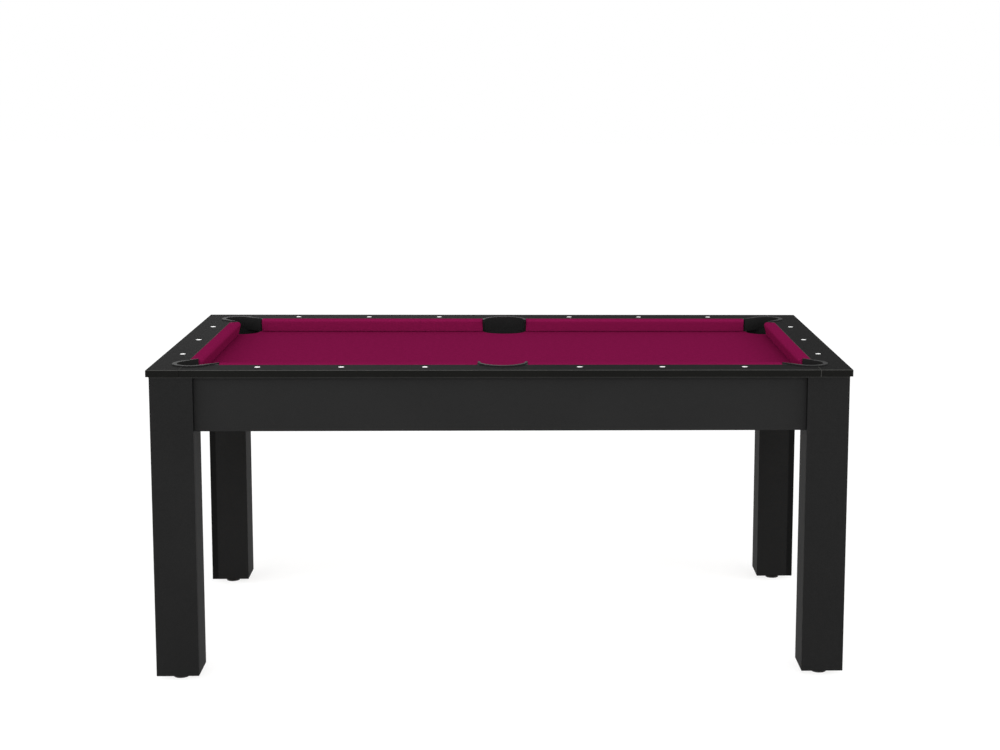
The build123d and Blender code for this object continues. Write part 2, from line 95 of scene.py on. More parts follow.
def seen_rays(tree):
    """An output that is 1 for rays from the eye, off a gloss or through glass, and 0 for rays that light."""
    path = node(tree, "ShaderNodeLightPath", {}, {})
    direct = node(tree, "ShaderNodeMath", {"operation": "MAXIMUM"},
                  {0: path.outputs["Is Camera Ray"], 1: path.outputs["Is Glossy Ray"]})
    seen = node(tree, "ShaderNodeMath", {"operation": "MAXIMUM"},
                {0: direct.outputs[0], 1: path.outputs["Is Transmission Ray"]})
    return seen.outputs[0]


white = linear("#FFFFFF")
room_light, room_seen = 0.785, 1.0
room = bpy.data.worlds.new("studio_room")
room.use_nodes = True
room.node_tree.nodes.clear()
ambient = node(room.node_tree, "ShaderNodeBackground", {}, {"Color": white, "Strength": room_light})
plain = node(room.node_tree, "ShaderNodeBackground", {}, {"Color": white, "Strength": room_seen})
both = node(room.node_tree, "ShaderNodeMixShader", {},
            {0: seen_rays(room.node_tree), 1: ambient.outputs[0], 2: plain.outputs[0]})
node(room.node_tree, "ShaderNodeOutputWorld", {}, {"Surface": both.outputs[0]})
bpy.context.scene.world = room


def soft_box(name, place, aim, width, height, watts):
    """A rectangular lamp at place that faces aim."""
    lamp = bpy.data.lights.new(name, "AREA")
    lamp.shape = "RECTANGLE"
    lamp.size = width
    lamp.size_y = height
    lamp.energy = watts
    box = bpy.data.objects.new(name, lamp)
    back = np.array(place) - np.array(aim)
    back = back / np.linalg.norm(back)
    side = np.cross([0.0, 0.0, 1.0], back)
    side = side / np.linalg.norm(side)
    axes = np.column_stack([side, np.cross(back, side), back])
    box.matrix_world = Matrix.Translation(place) @ Matrix(axes.tolist()).to_4x4()
    bpy.context.scene.collection.objects.link(box)


table_middle, apron_middle, bed_left = (0.0, 0.0, 0.6), (0.0, 0.0, 0.7), (-0.4, 0.0, 0.8)
soft_box("overhead_box", place=(0.0, -0.6, 4.2), aim=table_middle, width=5.0, height=4.0, watts=10.0)
soft_box("front_box", place=(-0.3, -5.4, 2.2), aim=table_middle, width=9.0, height=3.0, watts=235.0)
soft_box("back_left_box", place=(-2.4, 5.2, 1.8), aim=bed_left, width=5.0, height=1.4, watts=30.0)
soft_box("left_box", place=(-4.6, -1.4, 2.0), aim=apron_middle, width=3.0, height=2.4, watts=80.0)
soft_box("right_box", place=(4.6, -1.4, 2.0), aim=apron_middle, width=3.0, height=2.4, watts=90.0)

floor_reach = 30.0
fade_from, fade_to, near_share, far_share, glow_strength = 1.5, 4.0, 0.72, 1.0, 1.06
floor_corners = [(-floor_reach, -floor_reach, 0), (floor_reach, -floor_reach, 0),
                 (floor_reach, floor_reach, 0), (-floor_reach, floor_reach, 0)]
floor_mesh = bpy.data.meshes.new("studio_floor")
floor_mesh.from_pydata(floor_corners, [], [(0, 1, 2, 3)])
floor = bpy.data.objects.new("studio_floor", floor_mesh)
bpy.context.scene.collection.objects.link(floor)

# The floor's paper keeps the table's shadow. To the eye and to reflections it turns to plain white with
# the distance from the table.
sweep = bpy.data.materials.new("pale_matt_paper")
sweep.use_nodes = True
sweep.node_tree.nodes.clear()
paper = node(sweep.node_tree, "ShaderNodeBsdfDiffuse", {}, {"Color": linear("#F4F4F4"), "Roughness": 1.0})
glow = node(sweep.node_tree, "ShaderNodeEmission", {}, {"Color": white, "Strength": glow_strength})
place = node(sweep.node_tree, "ShaderNodeTexCoord", {}, {})
away = node(sweep.node_tree, "ShaderNodeVectorMath", {"operation": "LENGTH"}, {0: place.outputs["Object"]})
fade = node(sweep.node_tree, "ShaderNodeMapRange", {"interpolation_type": "SMOOTHSTEP"},
            {"Value": away.outputs["Value"], "From Min": fade_from, "From Max": fade_to,
             "To Min": near_share, "To Max": far_share})
share = node(sweep.node_tree, "ShaderNodeMath", {"operation": "MULTIPLY"},
             {0: seen_rays(sweep.node_tree), 1: fade.outputs[0]})
both = node(sweep.node_tree, "ShaderNodeMixShader", {},
            {0: share.outputs[0], 1: paper.outputs[0], 2: glow.outputs[0]})
node(sweep.node_tree, "ShaderNodeOutputMaterial", {}, {"Surface": both.outputs[0]})
floor_mesh.materials.append(sweep)


# Black boards of the rails: 18 mm particle board pressed with a melamine foil that has a fine sand-like
# emboss. Satin, charcoal on the faces and a shade darker on the edge banding, with a paler tone painted on
# the chamfered arrises as a highlight.

def shader(name, **values):
    """A new material with one Principled shader; the values go on the shader's own sockets, whose names are
    written with underscores."""
    made = bpy.data.materials.new(name)
    made.use_nodes = True
    body = made.node_tree.nodes["Principled BSDF"]
    for key, value in values.items():
        body.inputs[key.replace("_", " ")].default_value = value
    return made, made.node_tree, body


def board_foil(name, face, edge, grain, gloss, arris_highlight, ends=1.0, corner=None, band="#131313", banded=(0, 0)):
    """Melamine foil. Its emboss is a sandy fleck of 2.5 mm over a faint pore grain 1.2 mm wide and 60 mm long
    that runs along the board's length, grain; the real ones are near 0.5 mm and would not show. The chamfer
    between face and edge, whose normal leans by half a right angle, gets a painted highlight, the paler tone
    given for the arris, where its normal's X is under ends; an upright chamfer gets the painted highlight
    given as corner. An upright side whose normal points away from the direction banded is an edge band, of
    the tone of band."""
    pore_width, pore_length, fleck_size, cloud_size = 0.0012, 0.060, 0.0025, 0.25
    pore_weight, fleck_weight, cloud_weight = 0.15, 1.5, 0.35
    darkest, lightest, relief_depth = 0.76, 1.24, 0.00012
    # A chamfer's normal has a Z of 0.707, and an upright chamfer's has an X times Y of 0.5.
    chamfer_z, chamfer_room, corner_product, corner_room, band_side = 0.707, 0.2, 0.5, 0.15, -0.9
    made, tree, body = shader(name, Roughness=0.5, IOR=1.5, Specular_IOR_Level=gloss)
    place = node(tree, "ShaderNodeTexCoord", {}, {})
    stretch = [1 / pore_width] * 3
    stretch["XYZ".index(grain)] = 1 / pore_length
    along = node(tree, "ShaderNodeMapping", {}, {"Vector": place.outputs["Object"], "Scale": stretch})
    pores = node(tree, "ShaderNodeTexNoise", {}, {"Vector": along.outputs[0], "Scale": 1.0, "Detail": 3.0})
    fleck = node(tree, "ShaderNodeTexNoise", {},
                 {"Vector": place.outputs["Object"], "Scale": 1 / fleck_size, "Detail": 2.0,
                  "Roughness": 0.6})
    cloud = node(tree, "ShaderNodeTexNoise", {},
                 {"Vector": place.outputs["Object"], "Scale": 1 / cloud_size, "Detail": 2.0})
    pores = node(tree, "ShaderNodeMath", {"operation": "MULTIPLY"}, {0: pores.outputs[0], 1: pore_weight})
    tone = node(tree, "ShaderNodeMath", {"operation": "MULTIPLY_ADD"},
                {0: fleck.outputs[0], 1: fleck_weight, 2: pores.outputs[0]})
    tone = node(tree, "ShaderNodeMath", {"operation": "MULTIPLY_ADD"},
                {0: cloud.outputs[0], 1: cloud_weight, 2: tone.outputs[0]})
    tone = node(tree, "ShaderNodeMapRange", {}, {"Value": tone.outputs[0], "From Min": 0.6, "From Max": 1.4,
                                                 "To Min": darkest, "To Max": lightest})
    facing = node(tree, "ShaderNodeSeparateXYZ", {}, {0: place.outputs["Normal"]})
    flat = node(tree, "ShaderNodeMath", {"operation": "ABSOLUTE"}, {0: facing.outputs["Z"]})
    colour = node(tree, "ShaderNodeMix", {"data_type": "RGBA"},
                  {0: flat.outputs[0], 6: linear(edge), 7: linear(face)})
    inward = node(tree, "ShaderNodeVectorMath", {"operation": "DOT_PRODUCT"},
                  {0: place.outputs["Normal"], 1: (*banded, 0.0)})
    inward = node(tree, "ShaderNodeMath", {"operation": "LESS_THAN"},
                  {0: inward.outputs["Value"], 1: band_side})
    colour = node(tree, "ShaderNodeMix", {"data_type": "RGBA"},
                  {0: inward.outputs[0], 6: colour.outputs[2], 7: linear(band)})
    # Painted highlight: a chamfer leaning by half a right angle, away from the board's ends, takes the pale
    # arris tone.
    painted_arris_mask = node(tree, "ShaderNodeMath", {"operation": "COMPARE"},
                   {0: flat.outputs[0], 1: chamfer_z, 2: chamfer_room})
    along_x = node(tree, "ShaderNodeMath", {"operation": "ABSOLUTE"}, {0: facing.outputs["X"]})
    along_x = node(tree, "ShaderNodeMath", {"operation": "LESS_THAN"}, {0: along_x.outputs[0], 1: ends})
    painted_arris_mask = node(tree, "ShaderNodeMath", {"operation": "MULTIPLY"},
                   {0: painted_arris_mask.outputs[0], 1: along_x.outputs[0]})
    # Painted highlight: an upright chamfer takes the pale tone given as corner.
    upright = node(tree, "ShaderNodeMath", {"operation": "MULTIPLY"},
                   {0: facing.outputs["X"], 1: facing.outputs["Y"]})
    upright = node(tree, "ShaderNodeMath", {"operation": "ABSOLUTE"}, {0: upright.outputs[0]})
    upright = node(tree, "ShaderNodeMath", {"operation": "COMPARE"},
                   {0: upright.outputs[0], 1: corner_product, 2: corner_room})
    colour = node(tree, "ShaderNodeMix", {"data_type": "RGBA"},
                  {0: upright.outputs[0], 6: colour.outputs[2], 7: linear(corner or edge)})
    colour = node(tree, "ShaderNodeMix", {"data_type": "RGBA"},
                  {0: painted_arris_mask.outputs[0], 6: colour.outputs[2], 7: linear(arris_highlight)})
    colour = node(tree, "ShaderNodeVectorMath", {"operation": "SCALE"},
                  {0: colour.outputs[2], "Scale": tone.outputs[0]})
    tree.links.new(colour.outputs[0], body.inputs["Base Color"])
    relief = node(tree, "ShaderNodeBump", {},
                  {"Height": fleck.outputs[0], "Distance": relief_depth, "Strength": 0.5})
    tree.links.new(relief.outputs[0], body.inputs["Normal"])
    return made


def finish(names, made):
    """Gives CAD nodes a material in place of their plain one."""
    for name in names:
        nodes[name].data.materials.clear()
        nodes[name].data.materials.append(made)


# The rails' pale arris tone is a painted highlight along their chamfered edges.
rail_tones = {"face": "#191919", "edge": "#151514", "gloss": 0.002, "arris_highlight": "#464644"}
finish(["rail_front", "rail_back"], board_foil("melamine_rail_long", grain="X", ends=0.3, **rail_tones))
finish(["rail_left"], board_foil("melamine_rail_left", grain="Y", **rail_tones))
# Only the right rail's upright chamfers at its joints get the pale corner tone, a painted highlight of the
# light from the left.
finish(["rail_right"], board_foil("melamine_rail_right", grain="Y", corner="#464644", **rail_tones))


# Base: aprons and boxed legs of the same board, and the thin packing strip under the rails. The legs' and
# aprons' foil is a little glossier than the rails', so it lightens where it is seen edge-on.

apron_tones = {"face": "#202020", "edge": "#202020", "gloss": 0.02, "arris_highlight": "#202020"}
finish(["apron_front", "apron_back"], board_foil("melamine_apron_long", grain="X", **apron_tones))
finish(["apron_left", "apron_right"], board_foil("melamine_apron_short", grain="Y", **apron_tones))
leg_tones = {"face": "#1D1D1D", "edge": "#1D1D1D", "gloss": 0.009, "arris_highlight": "#1D1D1D"}
inner_boards = [name for name in nodes if name.startswith("leg_") and name.endswith("_inner")]
finish(inner_boards, board_foil("melamine_leg_inner", grain="Z", **leg_tones))
long_sides = (("front", -1), ("back", 1))
short_sides = (("left", -1), ("right", 1))
quarters = [(side, sy, end, sx) for side, sy in long_sides for end, sx in short_sides]
for side, sy, end, sx in quarters:
    foil = board_foil(f"melamine_leg_{side}_{end}", grain="Z", banded=(sx, sy), **leg_tones)
    finish([f"leg_{side}_{end}_outer"], foil)
strip_tones = {"face": "#272726", "edge": "#272726", "gloss": 0.05, "arris_highlight": "#272726"}
finish(["rail_packers"], board_foil("packing_strip", grain="X", **strip_tones))


# Hidden timber: planed spruce battens, joists and cleats, and raw fibreboard for the bed and the blocks in
# the legs. Spruce shows straight growth rings, fibreboard an even brown felt of fibres.

def spruce(name, grain):
    """Planed spruce. Rings are bands drawn 16 mm apart, wider than the real 2 to 4 mm so that they show. A
    slow noise 90 mm across bends them, and they run along grain."""
    ring_gap, bend_size, bend_reach, along_share, relief_depth = 0.0157, 0.09, 0.03, 0.05, 0.0001
    # A diagonal wave texture repeats every 0.628 at scale 1.
    diagonal_period = 0.628
    made, tree, body = shader(name, Roughness=0.62, IOR=1.5)
    place = node(tree, "ShaderNodeTexCoord", {}, {})
    stretch = [1.0, 1.0, 1.0]
    stretch["XYZ".index(grain)] = along_share
    along = node(tree, "ShaderNodeMapping", {}, {"Vector": place.outputs["Object"], "Scale": stretch})
    bend = node(tree, "ShaderNodeTexNoise", {},
                {"Vector": along.outputs[0], "Scale": 1 / bend_size, "Detail": 2.0})
    turned = node(tree, "ShaderNodeVectorMath", {"operation": "SCALE"},
                  {0: bend.outputs[1], "Scale": bend_reach})
    turned = node(tree, "ShaderNodeVectorMath", {"operation": "ADD"},
                  {0: turned.outputs[0], 1: along.outputs[0]})
    rings = node(tree, "ShaderNodeTexWave", {"bands_direction": "DIAGONAL"},
                 {"Vector": turned.outputs[0], "Scale": diagonal_period / ring_gap, "Distortion": 0.6,
                  "Detail": 2.0})
    ramp = node(tree, "ShaderNodeMix", {"data_type": "RGBA"},
                {0: rings.outputs[1], 6: linear("#C9A877"), 7: linear("#AD8654")})
    tree.links.new(ramp.outputs[2], body.inputs["Base Color"])
    relief = node(tree, "ShaderNodeBump", {},
                  {"Height": rings.outputs[1], "Distance": relief_depth, "Strength": 0.4})
    tree.links.new(relief.outputs[0], body.inputs["Normal"])
    return made


def fibreboard(name):
    """Raw medium-density fibreboard: brown felt with flecks of 1.5 mm and slow clouds of 80 mm."""
    fleck_size, cloud_size, relief_depth = 0.0015, 0.08, 0.00008
    made, tree, body = shader(name, Roughness=0.85, IOR=1.45)
    place = node(tree, "ShaderNodeTexCoord", {}, {})
    fibres = node(tree, "ShaderNodeTexNoise", {},
                  {"Vector": place.outputs["Object"], "Scale": 1 / fleck_size, "Detail": 4.0})
    clouds = node(tree, "ShaderNodeTexNoise", {},
                  {"Vector": place.outputs["Object"], "Scale": 1 / cloud_size, "Detail": 2.0})
    both = node(tree, "ShaderNodeMath", {"operation": "ADD"}, {0: fibres.outputs[0], 1: clouds.outputs[0]})
    both = node(tree, "ShaderNodeMapRange", {},
                {"Value": both.outputs[0], "From Min": 0.7, "From Max": 1.3})
    ramp = node(tree, "ShaderNodeMix", {"data_type": "RGBA"},
                {0: both.outputs[0], 6: linear("#8E7350"), 7: linear("#AE9068")})
    tree.links.new(ramp.outputs[2], body.inputs["Base Color"])
    relief = node(tree, "ShaderNodeBump", {},
                  {"Height": fibres.outputs[0], "Distance": relief_depth, "Strength": 0.5})
    tree.links.new(relief.outputs[0], body.inputs["Normal"])
    return made


long_battens = [f"batten_{side}_{end}" for side, sy, end, sx in quarters]
finish(long_battens + ["bed_cleats"], spruce("planed_spruce_long", "X"))
cross_timber = ["batten_left", "batten_right", "bed_joist_left", "bed_joist_right"]
finish(cross_timber, spruce("planed_spruce_cross", "Y"))
finish(["bed_board", "leg_foot_blocks", "leg_top_blocks"], fibreboard("raw_fibreboard"))


# Steel fixings: zinc-plated bolts, screws, plates, brackets and threaded inserts. Bright grey with the
# faint cloudy bloom of the plating.

def zinc_plate(name):
    """Zinc plating: pale grey metal whose gloss varies in clouds of 6 mm."""
    cloud_size, smoothest, roughest = 0.006, 0.28, 0.46
    made, tree, body = shader(name, Metallic=1.0)
    place = node(tree, "ShaderNodeTexCoord", {}, {})
    clouds = node(tree, "ShaderNodeTexNoise", {},
                  {"Vector": place.outputs["Object"], "Scale": 1 / cloud_size, "Detail": 3.0})
    tone = node(tree, "ShaderNodeMix", {"data_type": "RGBA"},
                {0: clouds.outputs[0], 6: linear("#A7ABAF"), 7: linear("#C6C9CB")})
    tree.links.new(tone.outputs[2], body.inputs["Base Color"])
    gloss = node(tree, "ShaderNodeMapRange", {},
                 {"Value": clouds.outputs[0], "To Min": smoothest, "To Max": roughest})
    tree.links.new(gloss.outputs[0], body.inputs["Roughness"])
    return made


zinc = zinc_plate("zinc_plated_steel")
finish(["leg_bolts", "cabinet_screws", "rail_bolts", "rail_plates", "rail_plate_screws"], zinc)
finish(["joist_brackets", "foot_inserts"], zinc)


# Playing cloth: napped wool and nylon, dyed burgundy, stretched over the bed board and glued at its edges.
# Its cut edge is eased where the six pockets are cut out.

def worsted(name, light, dark):
    """Burgundy playing cloth. The real yarns are 0.5 mm apart; they are drawn 1.2 mm apart so that they show,
    under a felted nap of 3 mm flecks and a slow mottle of 12 mm. It follows the cloth's own UV in metres."""
    yarn_gap, nap_size, mottle_size, relief_depth = 0.0012, 0.003, 0.012, 0.00018
    # A straight wave texture repeats every 0.314 at scale 1.
    straight_period = 0.314
    made, tree, body = shader(name, Roughness=0.95, IOR=1.45, Specular_IOR_Level=0.0)
    place = node(tree, "ShaderNodeUVMap", {"uv_map": "cut"}, {})
    warp = node(tree, "ShaderNodeTexWave", {"bands_direction": "X"},
                {"Vector": place.outputs[0], "Scale": straight_period / yarn_gap, "Distortion": 1.2,
                 "Detail": 1.0})
    weft = node(tree, "ShaderNodeTexWave", {"bands_direction": "Y"},
                {"Vector": place.outputs[0], "Scale": straight_period / yarn_gap, "Distortion": 1.2,
                 "Detail": 1.0})
    yarn = node(tree, "ShaderNodeMath", {"operation": "MULTIPLY"}, {0: warp.outputs[1], 1: weft.outputs[1]})
    nap = node(tree, "ShaderNodeTexNoise", {},
               {"Vector": place.outputs[0], "Scale": 1 / nap_size, "Detail": 3.0})
    mottle = node(tree, "ShaderNodeTexNoise", {},
                  {"Vector": place.outputs[0], "Scale": 1 / mottle_size, "Detail": 2.0})
    tone = node(tree, "ShaderNodeMath", {"operation": "ADD"}, {0: nap.outputs[0], 1: mottle.outputs[0]})
    tone = node(tree, "ShaderNodeMapRange", {},
                {"Value": tone.outputs[0], "From Min": 0.65, "From Max": 1.35})
    colour = node(tree, "ShaderNodeMix", {"data_type": "RGBA"},
                  {0: tone.outputs[0], 6: linear(dark), 7: linear(light)})
    tree.links.new(colour.outputs[2], body.inputs["Base Color"])
    height = node(tree, "ShaderNodeMath", {"operation": "ADD"}, {0: yarn.outputs[0], 1: nap.outputs[0]})
    relief = node(tree, "ShaderNodeBump", {},
                  {"Height": height.outputs[0], "Distance": relief_depth, "Strength": 0.6})
    tree.links.new(relief.outputs[0], body.inputs["Normal"])
    return made


def grid_faces(rows, columns, wrap=False):
    """Four-sided faces of a grid of points counted row by row; with wrap each row closes on itself."""
    row, column = np.meshgrid(np.arange(rows - 1), np.arange(columns if wrap else columns - 1), indexing="ij")
    beside = (column + 1) % columns
    quads = np.stack([row * columns + column, row * columns + beside,
                      (row + 1) * columns + beside, (row + 1) * columns + column], axis=-1)
    return quads.reshape(-1, 4)


def piece(name, points, faces, made, uv=None, sharp_deg=35.0):
    """A mesh object at the origin from an array of points in metres and a list of faces, with its material,
    its material slot and, where it has one, its UV map in metres."""
    mesh = bpy.data.meshes.new(name)
    mesh.from_pydata(points.tolist(), [], [list(face) for face in faces])
    if uv is not None:
        corner = np.zeros(len(mesh.loops), dtype=np.int32)
        mesh.loops.foreach_get("vertex_index", corner)
        layer = mesh.uv_layers.new(name="cut")
        layer.data.foreach_set("uv", np.asarray(uv, dtype=np.float32)[corner].ravel())
    mesh.materials.append(made)
    mesh.shade_smooth()
    mesh.set_sharp_from_angle(angle=math.radians(sharp_deg))
    mesh.update()
    made_piece = bpy.data.objects.new(name, mesh)
    bpy.context.scene.collection.objects.link(made_piece)
    return made_piece


# The cloth is a grid of five by three cells. The corner cells and the two side ones in the middle have a
# pocket's hole; the grid's lines lie two cell widths in from the ends and one each side of the middle.
bed_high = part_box("bed_cloth")[1]
half_x, half_y, cloth_top = bed_high.x, bed_high.y, bed_high.z
corner_at, corner_r = (0.79924, 0.40424), 0.051
side_at_y, side_radii = 0.410, (0.0625, 0.045)
cell = 0.100
lines_x = [-half_x, -half_x + 2 * cell, -cell, cell, half_x - 2 * cell, half_x]
lines_y = [-half_y, -half_y + 2 * cell, half_y - 2 * cell, half_y]
steps_x = [20, 56, 20, 56, 20]
steps_y = [20, 54, 20]
hole_rings, hole_crowding = 13, 1.3
weld_digits = 6
cloth_thickness, turned_edge_width = 0.0009, 0.0004


def plain_patch(x0, x1, nx, y0, y1, ny):
    """A flat grid between two corners: the point is (x0 to x1, y0 to y1, the cloth's top)."""
    x, y = np.meshgrid(np.linspace(x0, x1, nx + 1), np.linspace(y0, y1, ny + 1), indexing="xy")
    return np.stack([x, y, np.full_like(x, cloth_top)], axis=-1), False


def pocket_patch(x0, x1, nx, y0, y1, ny, centre, radii):
    """A cell with an oval hole. Column points go round the cell's border; row points blend from the hole's
    edge, at the same angle about the centre, out to that border, crowded towards the hole."""
    along_x, along_y = np.linspace(x0, x1, nx + 1), np.linspace(y0, y1, ny + 1)
    border = np.concatenate([np.stack([along_x[:-1], np.full(nx, y0)], -1),
                             np.stack([np.full(ny, x1), along_y[:-1]], -1),
                             np.stack([along_x[:0:-1], np.full(nx, y1)], -1),
                             np.stack([np.full(ny, x0), along_y[:0:-1]], -1)])
    off = border - np.array(centre)
    reach = 1.0 / np.sqrt((off[:, 0] / radii[0]) ** 2 + (off[:, 1] / radii[1]) ** 2)
    rim = np.array(centre) + off * reach[:, None]
    outward_share = np.linspace(0.0, 1.0, hole_rings)[:, None, None] ** hole_crowding
    flat = rim + (border - rim) * outward_share
    return np.concatenate([flat, np.full(flat.shape[:2] + (1,), cloth_top)], axis=-1), True


patches = []
for column in range(len(steps_x)):
    for row in range(len(steps_y)):
        spans = (lines_x[column], lines_x[column + 1], steps_x[column],
                 lines_y[row], lines_y[row + 1], steps_y[row])
        side = -1 if row == 0 else 1
        if row == 1 or column in (1, 3):
            patches.append(plain_patch(*spans))
        elif column == 2:
            patches.append(pocket_patch(*spans, (0.0, side * side_at_y), side_radii))
        else:
            end = -1 if column == 0 else 1
            centre = (end * corner_at[0], side * corner_at[1])
            patches.append(pocket_patch(*spans, centre, (corner_r, corner_r)))
bed_points, bed_faces, count = [], [], 0
for patch, wrap in patches:
    bed_points.append(patch.reshape(-1, 3))
    bed_faces.append(grid_faces(*patch.shape[:2], wrap=wrap)[:, ::-1 if wrap else 1] + count)
    count += patch.shape[0] * patch.shape[1]
bed_points, bed_faces = np.concatenate(bed_points), np.concatenate(bed_faces)
kept, index = np.unique(np.round(bed_points, weld_digits), axis=0, return_inverse=True)
cloth = worsted("burgundy_worsted", "#781442", "#6C103A")
bed = piece("bed_playing_cloth", kept, index.reshape(-1)[bed_faces], cloth, uv=kept[:, :2])
thick = bed.modifiers.new("cloth_thickness", "SOLIDIFY")
thick.thickness = cloth_thickness
thick.offset = -1.0
thick.use_quality_normals = True
turned = bed.modifiers.new("turned_edge", "BEVEL")
turned.width = turned_edge_width
turned.segments = 2
turned.limit_method = "ANGLE"
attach(bed, "table")
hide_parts("bed_cloth")


# Cushions: six rubber profiles in the same cloth, glued to the battens along the rails. They are cut square
# at the side pockets, and their noses are eased beside the corner ones. The cloth is drawn tight over the
# nose, which makes its tone more even, and lies tucked behind the rail's edge.

drawn_cloth = worsted("burgundy_worsted_drawn_tight", "#761340", "#71123E")
rail_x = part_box("rail_right")[0].x
rail_y, rail_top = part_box("rail_back")[0].y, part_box("rail_back")[1].z
long_cushion, short_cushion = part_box("cushion_back_right"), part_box("cushion_right")
long_ends = (long_cushion[0].x, long_cushion[1].x)
short_ends = (short_cushion[0].y, short_cushion[1].y)
glue_gap, nose_reach, nose_rise, foot_reach, foot_drop = 0.0003, 0.0369, 0.0020, 0.0280, 0.0361
corners = np.array([(glue_gap, 0.0), (nose_reach, nose_rise),
                    (foot_reach, -foot_drop), (glue_gap, -foot_drop)])
corner_rounds = np.array([0.0012, 0.0070, 0.0018, 0.0016])
end_round, end_bulge, end_steps, length_steps = 0.0018, 0.0002, 6, 60
cap_shares, bulge_shares = np.array([0.66, 0.33]), np.array([0.55, 0.9])
nose_ease_share, ease_length = 0.13, 0.018


def rounded_outline(points, rounds, arc_steps, side_steps):
    """A closed outline with its corners rounded. Each corner's arc is tangent to its two sides, a distance
    round / tan(half the corner's angle) from it; the sides between the arcs are divided evenly."""
    to_next = np.roll(points, -1, 0) - points
    length = np.linalg.norm(to_next, axis=1, keepdims=True)
    ahead, behind = to_next / length, -np.roll(to_next / length, 1, 0)
    half = np.arccos(np.clip((ahead * behind).sum(1), -1, 1)) / 2
    cut = (rounds / np.tan(half))[:, None]
    bisector = (ahead + behind) / np.linalg.norm(ahead + behind, axis=1, keepdims=True)
    middle = points + bisector * (rounds / np.sin(half))[:, None]
    first, last = points + behind * cut - middle, points + ahead * cut - middle
    sweep_angle = np.pi - 2 * half
    t = np.linspace(0, 1, arc_steps)[None, :, None]
    swing = sweep_angle[:, None, None]
    turned = np.sin((1 - t) * swing) * first[:, None] + np.sin(t * swing) * last[:, None]
    arc = middle[:, None] + turned / np.sin(swing)
    start, stop = arc[:, -1], np.roll(arc[:, 0], -1, 0)
    s = np.linspace(0, 1, side_steps + 2)[None, 1:-1, None]
    sides = start[:, None] + (stop - start)[:, None] * s
    return np.concatenate([arc, sides], axis=1).reshape(-1, 2)


def closed_faces(rows, columns, flip=False):
    """The faces of a wrapped grid and of two fans that close its ends on poles, the two points after the
    grid's own; flip turns every face round."""
    loop = np.arange(columns)
    beside = (loop + 1) % columns
    pole, last = rows * columns, (rows - 1) * columns
    start = np.stack([np.full(columns, pole), beside, loop], axis=-1)
    stop = np.stack([np.full(columns, pole + 1), last + loop, last + beside], axis=-1)
    faces = grid_faces(rows, columns, wrap=True).tolist() + start.tolist() + stop.tolist()
    return [face[::-1] for face in faces] if flip else faces


outline = rounded_outline(corners, corner_rounds, arc_steps=10, side_steps=6)
before, after = np.roll(outline, 1, 0), np.roll(outline, -1, 0)
tangent = (after - before) / np.linalg.norm(after - before, axis=1, keepdims=True)
inward = np.stack([tangent[:, 1], -tangent[:, 0]], axis=-1)
inward *= np.sign(((outline.mean(0) - outline) * inward).sum(1))[:, None]
girth = np.concatenate([[0.0], np.cumsum(np.linalg.norm(after - outline, axis=1))[:-1]])


def cushion(name, node_name, ends, eased, place):
    """A cushion from its outline carried along the rail between two ends, in metres. Near an end the outline
    is drawn in by end_round (1 - cos a) while it goes end_round (1 - sin a) short of the end, for a from 0 to
    a right angle, and two rings that shrink towards its middle close it with a bulge of end_bulge. Where an
    end is eased, the depth shrinks by nose_ease_share (1 - d / ease_length)^2 within ease_length of it. The
    axes and the origin in place lay it along its rail."""
    angle = np.linspace(0, np.pi / 2, end_steps)
    rings, stations = [], []
    centre = outline.mean(0)
    for sign, end in zip((-1, 1), ends):
        ring = outline[None] + inward[None] * (end_round * (1 - np.cos(angle)))[:, None, None]
        caps = centre + (ring[-1] - centre) * cap_shares[:, None, None]
        ring = np.concatenate([ring, caps])
        rounded = end - sign * end_round * (1 - np.sin(angle))
        station = np.concatenate([rounded, end + sign * end_bulge * bulge_shares])
        rings.append(ring[::sign])
        stations.append(station[::sign])
    swing = (1 - np.cos(np.linspace(0, np.pi, length_steps)[1:-1])) / 2
    middle = stations[0][-1] + (stations[1][0] - stations[0][-1]) * swing
    ring = np.concatenate([rings[0], np.repeat(outline[None], len(middle), 0), rings[1]])
    station = np.concatenate([stations[0], middle, stations[1]])
    along = np.repeat(station[:, None], ring.shape[1], 1)
    near = [np.clip(1 - np.abs(station - end) / ease_length, 0, 1) ** 2 for end in ends]
    depth = 1 - nose_ease_share * (eased[0] * near[0] + eased[1] * near[1])
    points = np.stack([along, ring[..., 0] * depth[:, None], ring[..., 1] + rail_top], axis=-1)
    rows, columns = points.shape[:2]
    flat = points.reshape(-1, 3)
    poles = np.stack([points[0].mean(0), points[-1].mean(0)])
    uv = np.concatenate([np.stack([flat[:, 0], np.tile(girth, rows)], axis=-1),
                         np.stack([poles[:, 0], [girth.mean()] * 2], axis=-1)])
    axes, origin = np.array(place[0]), np.array(place[1])
    world = np.einsum("ij,kj->ki", axes, np.concatenate([flat, poles])) + origin
    faces = closed_faces(rows, columns, flip=np.linalg.det(axes) > 0)
    made = piece(name, world, faces, drawn_cloth, uv=uv, sharp_deg=50.0)
    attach(made, "table")
    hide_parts(node_name)


for side, sy, end, sx in quarters:
    place = ([[sx, 0, 0], [0, -sy, 0], [0, 0, 1]], (0, sy * rail_y, 0))
    cushion(f"cloth_cushion_{side}_{end}", f"cushion_{side}_{end}", long_ends, (0, 1), place)
for end, sx in short_sides:
    place = ([[0, -sx, 0], [1, 0, 0], [0, 0, 1]], (sx * rail_x, 0, 0))
    cushion(f"cloth_cushion_{end}", f"cushion_{end}", short_ends, (1, 1), place)


# Pocket liners: one-piece mouldings in black polyethylene, with a horseshoe or crescent flange on the rails,
# two lugs against the cushions and a ball bucket. The mould's spark-eroded finish gives a fine satin grain.

